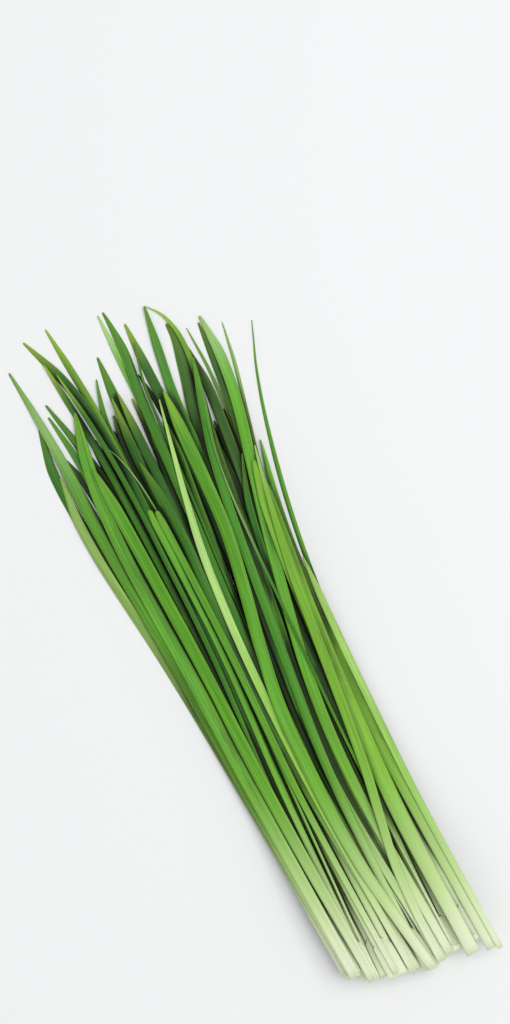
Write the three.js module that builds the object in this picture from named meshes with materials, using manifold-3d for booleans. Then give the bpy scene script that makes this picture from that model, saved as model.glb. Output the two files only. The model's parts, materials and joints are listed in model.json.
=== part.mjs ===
// A chive bunch: cut chive leaves lying together in one loose heap on a table.
// Millimetres, +Z up. +Y runs along the leaves from the cut ends to the tips.
// Every leaf is a closed solid. Leaves are laid one at a time on those already there,
// so each one drapes over the heap and keeps a small clearance to what it lies on.

import * as THREE from 'three';
import { mergeVertices } from 'three/addons/utils/BufferGeometryUtils.js';
import Module from 'manifold-3d';

const wasm = await Module();
wasm.setup();

// Driving dimensions of one leaf
const THICKNESS_SHARE = 0.2;
const THINNEST = 0.66;
const THICKEST = 0.95;
const THINNING = 58;
const TOP_SHARE = 0.58;
const FOOT_SHARE = 0.8;
const FOOT_SPREAD = 90;
const TAPER_POWER = 0.6;

// Over how many millimetres a leaf draws in to its tip, and how far beyond the tip the
// taper would have run out
const TIPS = {
  point: { taper: 20, beyond: 1.5 },
  long: { taper: 38, beyond: 2.5 },
  slender: { taper: 64, beyond: 3 },
  blunt: { taper: 9, beyond: 4 },
};

// Driving dimensions of a shoot, whose leaves rise from one sheath
const SHEATH_LENGTH = 20;
const SHEATH_WALL = 0.35;
const SHEATH_SKIN = 0.15;
const ROOT_DEPTH = 16;
const ROOT_INSET = 2;

// Where along a leaf its sections stand
const NEAR_TIP_STEPS = [34, 17, 6, 0];
const LONG_LEAF_STEPS = 8;
const FILLER_STEPS = 5;

// Laying the heap
const CLEARANCE = 0.2;
const ROW_PITCH = 0.5;
const CELL = 0.2;
const SIDE_MARGIN = 0.08;
const MAP_X = 56;
const MAP_Y = 144;
const STEEPEST_LEAN = 0.42;
const LEAN_SPREAD = 0.1;
const SAG = 0.0011;
const SETTLE_ROUNDS = 60;
const LIFT_PASSES = 100;
const LIFT_SLACK = 0.001;

// Sliding sideways, where a foot or a whole filler shoot finds room before it is laid
const SLIDE = 7;
const SLIDE_STEP = 0.5;
const SLIDE_COST = 0.01;
const SLIDE_TOP = -15;
const FOOT_LIMITS = [-25.5, 31.5];

// Filler shoots, which make up the body of the heap under the long leaves
const FILLER_SHOOTS = 16;
const FILLER_LEAVES = 4;
const FILLER_PITCH = 3.35;
const FILLER_FOOT_PITCH = 0.56;
const FILLER_WIDTH = [2.4, 3.1];
const FILLER_FOOT_SHARE = 0.55;
const FILLER_FOOT = [-137, -130];
const FILLER_TIP = [48, 93];
const FILLER_SWAY = 1.4;
const FILLER_EDGES = [
  [-140, -22, 29],
  [-60, -27.5, 25.5],
  [0, -27, 24],
  [60, -27.5, 26],
  [100, -30, 28],
];

// The cut rises towards the left edge of the bunch
const CUT_RISE = 10;
const CUT_REACH = 25;
const CUT_POWER = 1.6;

const COLOURS = {
  leaf_pale: 0xa6d36c,
  leaf_bright: 0x86c238,
  leaf_fresh: 0x66ac30,
  leaf_mid: 0x4c922a,
  leaf_deep: 0x357224,
  leaf_dark: 0x22501b,
};

// Layers of the heap, from the leaf it rests on to the ones that show whole
const BED = 0;
const LOW = 1;
const LOWER_MIDDLE = 2;
const MIDDLE = 3;
const UPPER_MIDDLE = 4;
const HIGH = 5;
const TOP = 6;

// A leaf's course is a list of [x, y] points from its cut end to its tip. At the cut end it
// has footShare of its full width.
const leaf = (width, course, tip = 'point', footShare = FOOT_SHARE) => (
  { width, course, tip, footShare });

const LONG_LEAVES = [
  ['leaf_01', 'leaf_fresh', HIGH,
    leaf(5.2, [[-22, -133], [-28.5, -60], [-33.3, 0], [-38.9, 60], [-41.2, 100],
      [-44.3, 127.5]], 'slender')],
  ['leaf_02', 'leaf_deep', LOW,
    leaf(3.9, [[-24, -135], [-29.5, -60], [-34.5, 0], [-43.2, 60], [-45.2, 85], [-43, 104]])],
  ['leaf_03', 'leaf_pale', UPPER_MIDDLE,
    leaf(3.5, [[-25, -136], [-30.4, -60], [-36.6, 0], [-44.2, 60], [-43.4, 84.7]])],
  ['leaf_04', 'leaf_fresh', HIGH,
    leaf(5.1, [[-21, -135], [-26.8, -60], [-30.6, 0], [-33.8, 50], [-32.8, 80], [-28.4, 104]])],
  ['leaf_05', 'leaf_deep', LOW,
    leaf(3.6, [[-19, -134], [-25, -60], [-29, 0], [-33.5, 60], [-36.4, 80], [-38.8, 89.5]])],
  ['leaf_06', 'leaf_fresh', HIGH,
    leaf(4.7, [[-18.5, -136], [-23.2, -60], [-25.4, 0], [-29.2, 60], [-31, 82]])],
  ['leaf_07', 'leaf_deep', UPPER_MIDDLE,
    leaf(3.9, [[-12, -135], [-18, -60], [-18.3, 0], [-20, 60], [-22.4, 95], [-27.8, 118],
      [-34.8, 135.5]])],
  ['leaf_08', 'leaf_bright', MIDDLE,
    leaf(2.8, [[-13, -136], [-19, -60], [-18.8, 0], [-19.3, 60], [-21.2, 100], [-23.3, 120],
      [-25.3, 136.5]])],
  ['leaf_09', 'leaf_dark', LOW,
    leaf(3.8, [[-10, -134], [-15, -60], [-16, 0], [-17.2, 60], [-17.2, 82], [-15.8, 97]])],
  ['leaf_10', 'leaf_mid', MIDDLE,
    leaf(2.6, [[-5, -133], [-9, -60], [-9.5, 0], [-10.3, 50], [-11.4, 70], [-12.8, 82]])],
  ['leaf_11', 'leaf_mid', HIGH,
    leaf(4.2, [[-7, -134], [-11.3, -60], [-12.5, 0], [-11.5, 40], [-12.7, 63], [-14.3, 77]])],
  ['leaf_12', 'leaf_fresh', HIGH,
    leaf(2.6, [[-8, -134], [-12.6, -60], [-13.5, 0], [-15.1, 40], [-16.1, 58.2]], 'blunt')],
  ['leaf_13', 'leaf_fresh', LOWER_MIDDLE,
    leaf(2.7, [[-5, -134], [-9, -60], [-6, 0], [-4.3, 60], [-4.6, 100], [-5.2, 120], [-5.6, 133]])],
  ['leaf_14', 'leaf_deep', LOWER_MIDDLE,
    leaf(3.8, [[0, -134], [-5, -60], [-1, 0], [3.6, 60], [3.1, 95], [2.5, 112], [2.2, 126]])],
  ['leaf_15', 'leaf_dark', BED,
    leaf(2.6, [[1, -133], [-4, -60], [-2, 0], [2, 60], [1, 92], [-1.2, 106.8]])],
  ['leaf_16', 'leaf_pale', TOP,
    leaf(3.1, [[-6, -135], [-9, -60], [-9, 0], [-6.9, 40], [-4, 60], [-0.6, 80], [2.1, 95]], 'slender')],
  ['leaf_17', 'leaf_fresh', TOP,
    leaf(4.8, [[-2, -136], [-7.5, -90], [-7.5, -50], [-5.2, -20], [1.2, 20], [4.4, 45], [4.7, 75],
      [4.9, 97.3]])],
  ['leaf_18', 'leaf_deep', MIDDLE,
    leaf(2.8, [[3, -134], [-3, -60], [0, 0], [2.2, 60], [2.4, 80], [3.2, 90]])],
  ['leaf_19', 'leaf_mid', HIGH,
    leaf(3.6, [[2, -134], [-1.8, -60], [2.6, 0], [6.7, 40], [7.5, 60], [6.9, 85], [9.2, 110],
      [11.5, 128.8]])],
  ['leaf_20', 'leaf_bright', MIDDLE,
    leaf(2.0, [[10, -133], [9, -60], [11, 0], [13, 60], [18.4, 100], [18.8, 114], [16.8, 122],
      [12, 128.6]])],
  ['leaf_21', 'leaf_dark', LOWER_MIDDLE,
    leaf(5.3, [[4, -134], [3, -60], [5, 0], [8.6, 60], [12.9, 90], [16.8, 110], [16.2, 119.6]])],
  ['leaf_22', 'leaf_mid', HIGH,
    leaf(3.4, [[4, -135], [1, -60], [4.6, 0], [9.4, 55], [12.8, 75], [16.8, 91], [19.8, 104]])],
  ['leaf_23', 'leaf_fresh', HIGH,
    leaf(4.2, [[6, -134], [4.5, -60], [8.6, -20], [15.1, 20], [20.9, 50], [27.3, 80], [29.4, 100],
      [28.5, 117]])],
  ['leaf_24', 'leaf_fresh', LOW,
    leaf(1.9, [[30.5, -137], [26, -60], [25.4, 0], [27.7, 30], [32.2, 60], [38.4, 87],
      [45.5, 107.5]], 'slender')],
  ['leaf_25', 'leaf_bright', TOP,
    leaf(3.8, [[2, -135], [3.2, -100], [10.8, -60], [16.5, -20], [19.9, 20], [24, 50],
      [26.8, 64.8]], 'slender')],
  ['leaf_26', 'leaf_fresh', MIDDLE,
    leaf(2.7, [[26, -135], [22, -60], [22.8, 0], [25.2, 40], [29.6, 66]])],
  ['leaf_27', 'leaf_deep', UPPER_MIDDLE,
    leaf(2.7, [[12, -134], [10, -60], [10.5, 0], [15.5, 45], [21.3, 64.2]])],
  ['leaf_28', 'leaf_mid', HIGH,
    leaf(1.1, [[8, -132], [9, -60], [11.2, 0], [11.2, 45], [12.6, 68], [14.8, 82]], 'slender')],
  ['leaf_29', 'leaf_mid', MIDDLE,
    leaf(5.2, [[0, -134], [-4.2, -60], [-6, 0], [-3.8, 30], [-1.8, 60], [0.5, 88]])],
  ['leaf_30', 'leaf_mid', LOW,
    leaf(3.2, [[-4, -133], [-8, -60], [-8, 0], [-7, 60], [-6.5, 88], [-7, 99.7]])],
  ['leaf_31', 'leaf_fresh', UPPER_MIDDLE,
    leaf(3.5, [[5, -135], [1.9, -60], [4.6, -20], [7, 0], [9.1, 20], [10.3, 40], [12.8, 75]])],
  ['leaf_32', 'leaf_mid', MIDDLE,
    leaf(3.1, [[11, -134], [11.6, -60], [12.5, -20], [13, 0], [15, 30], [18, 50]])],
  ['leaf_33', 'leaf_bright', HIGH,
    leaf(6.4, [[22.3, -138], [18.6, -80], [18.1, -40], [19, 0], [22, 40], [24, 60]])],
  ['leaf_34', 'leaf_bright', UPPER_MIDDLE,
    leaf(5.8, [[27.6, -139], [24, -80], [21.8, -40], [21.5, 0], [23, 30]])],
  ['leaf_35', 'leaf_pale', HIGH,
    leaf(2.9, [[30.5, -140], [26.5, -80], [25.5, -40], [25.2, -10], [25.5, 20]])],
  ['pair_01', 'leaf_fresh', UPPER_MIDDLE,
    leaf(2.7, [[-10, -136], [-14.9, -60], [-16.1, 0], [-17.7, 40], [-18.5, 59.7]], 'blunt'),
    leaf(1.1, [[-8, -136], [-12, -60], [-13.7, 0], [-15.4, 40], [-16.2, 60], [-19.5, 79],
      [-23.8, 88.3]], 'slender')],
  ['pair_02', 'leaf_mid', MIDDLE,
    leaf(3.4, [[-5, -134], [-10, -60], [-10.5, 0], [-8.9, 50], [-7.1, 73], [-5.8, 85]]),
    leaf(1.2, [[-2.5, -134], [-7.5, -60], [-7.9, 0], [-6.4, 50], [-4.6, 63], [-3.2, 69.2]])],
  ['pair_03', 'leaf_dark', LOW,
    leaf(3.8, [[14, -134], [12, -60], [13.5, 0], [18.4, 60], [20.3, 90], [19.4, 109.5]]),
    leaf(1.3, [[16.9, -134], [15, -60], [16.6, 0], [21.7, 60], [23.4, 95], [22.3, 115]])],
  ['pair_04', 'leaf_mid', MIDDLE,
    leaf(3.5, [[-3, -135], [-7, -60], [-6.5, 0], [-4.8, 60], [-4, 95], [-2.3, 118], [-3.4, 133.3]]),
    leaf(1.2, [[0, -135], [-4.4, -60], [-4, 0], [-2.1, 60], [-0.9, 100], [0.6, 110],
      [2.6, 118.3]])],
  ['pair_05', 'leaf_mid', UPPER_MIDDLE,
    leaf(2.6, [[-16, -134], [-21.4, -60], [-22.4, 0], [-24.8, 60], [-26.9, 90], [-31.3, 124.8]]),
    leaf(1.9, [[-13.4, -134], [-19, -60], [-20, 0], [-21.5, 60], [-23.8, 90], [-28.4, 119.3]])],
  ['pair_06', 'leaf_deep', MIDDLE,
    leaf(3.4, [[-8, -135], [-12.4, -60], [-13.4, 0], [-14.3, 60], [-14.3, 85], [-13.7, 102.8]]),
    leaf(3.4, [[-4.2, -135], [-8.5, -60], [-9.6, 0], [-10.2, 60], [-10.7, 90], [-10.9, 103.3]])],
  ['pair_07', 'leaf_dark', LOW,
    leaf(3.2, [[18, -134], [16, -60], [17.8, 0], [22.8, 60], [26, 90], [27.1, 115]]),
    leaf(1.5, [[20.8, -134], [18.6, -60], [20.4, 0], [25.6, 60], [30, 80], [32.9, 95],
      [35.2, 111.5]])],
  ['pair_08', 'leaf_mid', LOWER_MIDDLE,
    leaf(4.0, [[-21.4, -135], [-27, -60], [-30, 0], [-32.3, 60], [-34.9, 88], [-38, 106.5]], 'long'),
    leaf(4.2, [[-17, -135], [-22, -60], [-22.8, 0], [-27, 60], [-32, 90], [-37, 111]], 'long')],
  ['pair_09', 'leaf_mid', LOW,
    leaf(2.5, [[-11.4, -134], [-16, -60], [-16.5, 0], [-18.2, 60], [-19.6, 90], [-18.6, 101],
      [-15.9, 111.7]]),
    leaf(4.0, [[-7.8, -134], [-12.4, -60], [-12, 0], [-12.2, 60], [-12.7, 100], [-12.2, 119]])],
];

// Seeded random numbers in [0, 1)
let seed = 20240613;
function random() {
  seed = (Math.imul(seed, 1664525) + 1013904223) >>> 0;
  return seed / 4294967296;
}
const between = ([low, high]) => low + random() * (high - low);
const clamp = (value, low, high) => Math.min(high, Math.max(low, value));
const mix = (a, b, share) => a + (b - a) * share;

// x of a smooth course at height y, by cubic Hermite pieces with finite-difference slopes
function courseAt(points, y) {
  const last = points.length - 1;
  const slope = (i) => {
    const before = points[Math.max(0, i - 1)];
    const after = points[Math.min(last, i + 1)];
    return (after[0] - before[0]) / (after[1] - before[1]);
  };
  let i = 0;
  while (i < last - 1 && y > points[i + 1][1]) i += 1;
  const [x0, y0] = points[i];
  const [x1, y1] = points[i + 1];
  const run = y1 - y0;
  const t = clamp((y - y0) / run, 0, 1);
  const t2 = t * t;
  const t3 = t2 * t;
  return (2 * t3 - 3 * t2 + 1) * x0 + (t3 - 2 * t2 + t) * run * slope(i)
    + (3 * t2 - 2 * t3) * x1 + (t3 - t2) * run * slope(i + 1);
}

// Left and right limit of the filler leaves at height y
function fillerEdges(y) {
  let i = 0;
  while (i < FILLER_EDGES.length - 2 && y > FILLER_EDGES[i + 1][0]) i += 1;
  const [y0, left0, right0] = FILLER_EDGES[i];
  const [y1, left1, right1] = FILLER_EDGES[i + 1];
  const share = (y - y0) / (y1 - y0);
  return [mix(left0, left1, share), mix(right0, right1, share)];
}

// Leaf width at height y: narrow at the foot, full along the blade, drawn in to the tip
function halfWidth({ width, tip, footShare }, y, footY, tipY) {
  const foot = mix(footShare, 1, clamp((y - footY) / FOOT_SPREAD, 0, 1));
  const { taper, beyond } = TIPS[tip];
  const drawnIn = clamp((tipY - y + beyond) / taper, 0, 1) ** TAPER_POWER;
  return 0.5 * width * foot * drawnIn;
}

// A strip is one leaf as sections standing at rising y: centre x, half width, thickness,
// and, once it is laid, the height z of its underside and its lean, the rise per millimetre
// of x.
function makeStrip(shape, bodySteps) {
  const { width, course } = shape;
  const footY = course[0][1];
  const tipY = course[course.length - 1][1];
  const bodyStart = footY + SHEATH_LENGTH;
  const bodyEnd = tipY - NEAR_TIP_STEPS[0];
  const ys = [footY];
  for (let i = 0; i <= bodySteps; i += 1) ys.push(mix(bodyStart, bodyEnd, i / bodySteps));
  for (const step of NEAR_TIP_STEPS.slice(1)) ys.push(tipY - step);
  const thick = clamp(THICKNESS_SHARE * width, THINNEST, THICKEST);
  return {
    y: ys,
    x: ys.map((y) => courseAt(course, y)),
    half: ys.map((y) => halfWidth(shape, y, footY, tipY)),
    thick: ys.map((y) => mix(THINNEST, thick, clamp((tipY - y) / THINNING, 0, 1))),
    z: ys.map(() => 0),
    lean: ys.map(() => 0),
  };
}

// The sheath round the feet of a shoot's leaves, a short wide strip that lies level
function makeSheath(strips) {
  const ys = [0, 0.5, 1].map((share) => strips[0].y[0] + share * ROOT_DEPTH);
  const at = (strip, key, y) => {
    const share = clamp((y - strip.y[0]) / (strip.y[1] - strip.y[0]), 0, 1);
    return mix(strip[key][0], strip[key][1], share);
  };
  const left = ys.map((y) => Math.min(...strips.map((s) => at(s, 'x', y) - at(s, 'half', y))));
  const right = ys.map((y) => Math.max(...strips.map((s) => at(s, 'x', y) + at(s, 'half', y))));
  const thick = Math.max(...strips.map((s) => s.thick[0])) + SHEATH_WALL;
  return {
    y: ys,
    x: ys.map((_, i) => 0.5 * (left[i] + right[i])),
    half: ys.map((_, i) => 0.5 * (right[i] - left[i]) + SHEATH_WALL),
    thick: ys.map(() => thick),
    z: ys.map(() => 0),
    lean: ys.map(() => 0),
  };
}

// The height of the heap so far, on a grid of cells seen from above
const columns = Math.round((2 * MAP_X) / CELL);
const rows = Math.round((2 * MAP_Y) / ROW_PITCH);
const heap = new Float64Array(columns * rows);

// Calls visit(row y, segment, share along it, lowest column, highest column) along a strip
function alongRows(strip, visit) {
  const first = Math.ceil((strip.y[0] + MAP_Y) / ROW_PITCH) - 1;
  const last = Math.floor((strip.y[strip.y.length - 1] + MAP_Y) / ROW_PITCH) + 1;
  let segment = 0;
  for (let row = first; row <= last; row += 1) {
    const y = clamp(row * ROW_PITCH - MAP_Y, strip.y[0], strip.y[strip.y.length - 1]);
    while (segment < strip.y.length - 2 && y > strip.y[segment + 1]) segment += 1;
    const share = (y - strip.y[segment]) / (strip.y[segment + 1] - strip.y[segment]);
    const x = mix(strip.x[segment], strip.x[segment + 1], share);
    const reach = mix(strip.half[segment], strip.half[segment + 1], share) + SIDE_MARGIN;
    const lowest = Math.floor((x - reach + MAP_X) / CELL);
    const highest = Math.ceil((x + reach + MAP_X) / CELL);
    visit({ row, segment, share, x, reach, lowest, highest });
  }
}

const columnX = (column) => (column + 0.5) * CELL - MAP_X;

// Leans a strip the way the heap slopes under it, evened out along the leaf
function leanOnHeap(strip, levelEnds) {
  const sum = strip.y.map(() => 0);
  const weight = strip.y.map(() => 1e-6);
  alongRows(strip, ({ row, segment, share, x, reach, lowest, highest }) => {
    let left = 0;
    let right = 0;
    for (let column = lowest; column <= highest; column += 1) {
      const height = heap[row * columns + column];
      if (columnX(column) < x) left = Math.max(left, height);
      else right = Math.max(right, height);
    }
    const slope = clamp((right - left) / (1.4 * reach), -STEEPEST_LEAN, STEEPEST_LEAN);
    sum[segment] += slope * (1 - share);
    weight[segment] += 1 - share;
    sum[segment + 1] += slope * share;
    weight[segment + 1] += share;
  });
  const raw = sum.map((total, k) => total / weight[k]);
  const bias = (random() - 0.5) * 2 * LEAN_SPREAD;
  const turn = (random() - 0.5) * 2 * LEAN_SPREAD;
  strip.lean = raw.map((value, k) => {
    if (k < levelEnds) return 0;
    const before = raw[Math.max(0, k - 1)];
    const after = raw[Math.min(raw.length - 1, k + 1)];
    const even = 0.25 * before + 0.5 * value + 0.25 * after;
    const along = k / (raw.length - 1);
    return clamp(even + bias + turn * (2 * along - 1), -STEEPEST_LEAN, STEEPEST_LEAN);
  });
}

// The least height of a strip's underside at each row that clears the heap and the table
function supportRows(strip) {
  const needs = strip.y.slice(1).map(() => []);
  alongRows(strip, ({ row, segment, share, x, reach, lowest, highest }) => {
    const lean = mix(strip.lean[segment], strip.lean[segment + 1], share);
    let need = Math.abs(lean) * reach;
    for (let column = lowest; column <= highest; column += 1) {
      const height = heap[row * columns + column];
      if (height > 0) {
        const across = clamp(columnX(column) - x, -reach, reach);
        need = Math.max(need, height + CLEARANCE - across * lean);
      }
    }
    needs[segment].push({ share, need });
  });
  return needs;
}

// Lifts each span that still cuts into what lies under it, at its worst cut, in turns
function liftStrip(strip, needs) {
  const { z } = strip;
  const spans = z.length - 1;
  for (let pass = 0; pass < LIFT_PASSES; pass += 1) {
    let deepest = 0;
    for (let span = 0; span < spans; span += 1) {
      let cut = 0;
      let at = 0;
      for (const { share, need } of needs[span]) {
        const short = need - mix(z[span], z[span + 1], share);
        if (short > cut) {
          cut = short;
          at = share;
        }
      }
      const spread = (1 - at) ** 2 + at ** 2;
      z[span] += (cut * (1 - at)) / spread;
      z[span + 1] += (cut * at) / spread;
      deepest = Math.max(deepest, cut);
    }
    if (deepest < LIFT_SLACK) return;
  }
}

// Lets a strip sag between its supports like a limp rope, its free ends drooping, and lifts
// it back onto them, in turns until it rests
function settleStrip(strip, needs, fixedEnds) {
  const { y, z, lean, half } = strip;
  const last = y.length - 1;
  liftStrip(strip, needs);
  for (let round = 0; round < SETTLE_ROUNDS; round += 1) {
    for (let k = fixedEnds; k <= last; k += 1) {
      const before = y[k] - y[Math.max(0, k - 1)];
      const after = y[Math.min(last, k + 1)] - y[k];
      let rest;
      if (k === 0) rest = z[1] - SAG * after * after;
      else if (k === last) rest = z[last - 1] - SAG * before * before;
      else rest = (z[k - 1] * after + z[k + 1] * before) / (before + after) - SAG * before * after;
      z[k] = Math.max(Math.abs(lean[k]) * half[k], rest);
    }
    liftStrip(strip, needs);
  }
}

// Raises the heap under a laid strip to the strip's upper side
function addToHeap(strip) {
  alongRows(strip, ({ row, segment, share, x, reach, lowest, highest }) => {
    const at = (key) => mix(strip[key][segment], strip[key][segment + 1], share);
    const half = at('half');
    const edge = half * (1 - TOP_SHARE);
    for (let column = lowest; column <= highest; column += 1) {
      const across = clamp(columnX(column) - x, -reach, reach);
      const shoulder = clamp((half + 2 * SIDE_MARGIN - Math.abs(across)) / edge, 0, 1);
      const height = at('z') + across * at('lean') + at('thick') * shoulder;
      const cell = row * columns + column;
      heap[cell] = Math.max(heap[cell], height);
    }
  });
}

// The leaves of a shoot with their feet, or all of them if it is a filler, moved sideways.
// They are cut at one height, which follows the rise of the cut.
function moved(leaves, shift, isFiller) {
  const middle = leaves.reduce((sum, { course }) => sum + course[0][0], 0) / leaves.length;
  const leftward = Math.max(0, -middle - shift) / CUT_REACH;
  const rise = CUT_RISE * leftward ** CUT_POWER;
  return leaves.map((shape) => {
    const footY = shape.course[0][1];
    const share = (y) => (isFiller ? 1 : clamp((SLIDE_TOP - y) / (SLIDE_TOP - footY), 0, 1));
    const course = shape.course.map(([x, y], i) => [x + shift * share(y), i ? y : y + rise]);
    return { ...shape, course };
  });
}

function insideOutline(leaves, isFiller) {
  return leaves.every(({ course, width }) => course.every(([x, y], i) => {
    if (i > 0 && !isFiller) return true;
    const [left, right] = isFiller && i > 0 ? fillerEdges(y) : FOOT_LIMITS;
    return x - 0.5 * width > left && x + 0.5 * width < right;
  }));
}

// Tries a shoot at each sideways shift and keeps the one that finds the heap lowest
function findRoom(leaves, isFiller, steps) {
  let best = null;
  for (let shift = -SLIDE; shift <= SLIDE; shift += SLIDE_STEP) {
    const shapes = moved(leaves, shift, isFiller);
    if (shift === 0 || insideOutline(shapes, isFiller)) {
      const strips = shapes.map((shape) => makeStrip(shape, steps));
      const needs = strips.flatMap((strip) => supportRows(strip).flat());
      const mean = needs.reduce((sum, { need }) => sum + need, 0) / needs.length;
      const cost = mean + SLIDE_COST * Math.abs(shift);
      if (!best || cost < best.cost) best = { cost, strips };
    }
  }
  return best.strips;
}

// Lays the leaves of one shoot together: their first two sections share one height
function layShoot(strips, sheath, rolled) {
  const shared = sheath ? 2 : 0;
  if (rolled) for (const strip of strips) leanOnHeap(strip, shared);
  const needs = strips.map(supportRows);
  strips.forEach((strip, i) => settleStrip(strip, needs[i], 0));
  if (!sheath) return;
  const sheathNeeds = supportRows(sheath);
  liftStrip(sheath, sheathNeeds);
  const height = [0, 1].map((k) => Math.max(sheath.z[2 * k] + SHEATH_SKIN,
    sheath.z[1] + SHEATH_SKIN, ...strips.map((strip) => strip.z[k])));
  strips.forEach((strip, i) => {
    height.forEach((z, k) => { strip.z[k] = z; });
    settleStrip(strip, needs[i], shared);
  });
  for (const k of [0, 1]) {
    const highest = Math.max(...strips.map((strip) => strip.z[k]));
    for (const strip of strips) strip.z[k] = highest;
  }
  const [low, high] = [strips[0].z[0] - SHEATH_SKIN, strips[0].z[1] - SHEATH_SKIN];
  sheath.z = [low, 0.5 * (low + high), high];
}

// A strip's four-cornered sections, skinned and capped into a closed mesh
function stripSolid(strip) {
  const positions = [];
  const index = [];
  strip.y.forEach((y, k) => {
    const x = strip.x[k];
    const half = strip.half[k];
    const top = half * TOP_SHARE;
    const z = strip.z[k];
    const lean = strip.lean[k];
    positions.push(
      x - half, y, z - lean * half,
      x + half, y, z + lean * half,
      x + top, y, z + lean * top + strip.thick[k],
      x - top, y, z - lean * top + strip.thick[k],
    );
  });
  const last = strip.y.length - 1;
  for (let k = 0; k < last; k += 1) {
    for (let corner = 0; corner < 4; corner += 1) {
      const a = 4 * k + corner;
      const b = 4 * k + ((corner + 1) % 4);
      index.push(a, b + 4, b, a, a + 4, b + 4);
    }
  }
  const end = 4 * last;
  index.push(0, 1, 2, 0, 2, 3, end, end + 2, end + 1, end, end + 3, end + 2);
  const geometry = new THREE.BufferGeometry();
  geometry.setAttribute('position', new THREE.Float32BufferAttribute(positions, 3));
  geometry.setIndex(index);
  return geometry;
}

function toManifold(geometry) {
  const merged = mergeVertices(geometry);
  return new wasm.Manifold(new wasm.Mesh({
    numProp: 3,
    vertProperties: merged.attributes.position.array,
    triVerts: Uint32Array.from(merged.index.array),
  }));
}

function toGeometry(manifold) {
  const mesh = manifold.getMesh();
  const geometry = new THREE.BufferGeometry();
  geometry.setAttribute('position', new THREE.BufferAttribute(mesh.vertProperties, 3));
  geometry.setIndex(new THREE.BufferAttribute(mesh.triVerts, 1));
  return geometry;
}

function shootGeometry(strips, sheath) {
  if (!sheath) return stripSolid(strips[0]);
  return toGeometry(strips.reduce((whole, strip) => whole.add(toManifold(stripSolid(strip))),
    toManifold(stripSolid(sheath))));
}

// One filler shoot: leaves side by side that follow the heap's outline, with uneven tips
function fillerShoot(number) {
  const centre = (number + 0.5) / FILLER_SHOOTS;
  const footY = between(FILLER_FOOT);
  const sway = (random() - 0.5) * 2 * FILLER_SWAY;
  const spread = 0.5 * (FILLER_LEAVES - 1);
  const courseX = (y, place) => {
    const [left, right] = fillerEdges(y);
    const opened = clamp((y - footY) / FOOT_SPREAD, 0, 1);
    const pitch = FILLER_PITCH * mix(FILLER_FOOT_PITCH, 1, opened);
    const room = spread * FILLER_PITCH + 1.5;
    const axis = mix(left + room, right - room, centre);
    return axis + pitch * place + sway * Math.sin(y / 55 + number);
  };
  const leaves = [];
  for (let i = 0; i < FILLER_LEAVES; i += 1) {
    const tipY = between(FILLER_TIP);
    const heights = [footY, -90, -45, 0, 45, tipY].filter((y, k) => k === 5 || y < tipY - 10);
    const course = heights.map((y) => [courseX(y, i - spread), y]);
    leaves.push(leaf(between(FILLER_WIDTH), course, 'point', FILLER_FOOT_SHARE));
  }
  return leaves;
}

function fillerTable() {
  const table = [];
  for (let i = 0; i < FILLER_SHOOTS; i += 1) {
    const name = `shoot_${String(i + 1).padStart(2, '0')}`;
    const number = (i * 7) % FILLER_SHOOTS;
    table.push([name, i % 2 ? 'leaf_deep' : 'leaf_dark', LOW, ...fillerShoot(number)]);
  }
  return table;
}

function layHeap() {
  const fillers = fillerTable();
  const bed = LONG_LEAVES.filter(([, , layer]) => layer === BED);
  const upper = LONG_LEAVES.filter(([, , layer]) => layer !== BED);
  upper.sort((a, b) => a[2] - b[2]);
  const heapGroup = new THREE.Group();
  for (const [name, tone, layer, ...leaves] of [...bed, ...fillers, ...upper]) {
    const isFiller = fillers.some((row) => row[0] === name);
    const steps = isFiller ? FILLER_STEPS : LONG_LEAF_STEPS;
    const strips = findRoom(leaves, isFiller, steps);
    const sheath = leaves.length > 1 ? makeSheath(strips) : null;
    if (sheath) for (const strip of strips) strip.y[0] += ROOT_INSET;
    layShoot(strips, sheath, layer !== BED);
    for (const strip of sheath ? [...strips, sheath] : strips) addToHeap(strip);
    const material = new THREE.MeshStandardMaterial({
      color: COLOURS[tone],
      roughness: 0.45,
      metalness: 0,
    });
    const mesh = new THREE.Mesh(shootGeometry(strips, sheath), material);
    mesh.name = name;
    heapGroup.add(mesh);
  }
  return heapGroup;
}

// The heap is centred over the origin and stands on z = 0
const heapGroup = layHeap();
const box = new THREE.Box3().setFromObject(heapGroup);
const middle = box.getCenter(new THREE.Vector3());
heapGroup.position.set(-middle.x, -middle.y, -box.min.z);

const bunch = new THREE.Group();
bunch.add(heapGroup);

export default bunch;
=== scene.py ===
# %% [markdown]
# A bunch of fresh chives, just cut and laid on a table.
# The solid model already says how long each leaf is, where it runs and what it lies on.
# This lesson reads those leaves back and gives each one a grown leaf's section, tip and skin.

import json
import math

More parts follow.
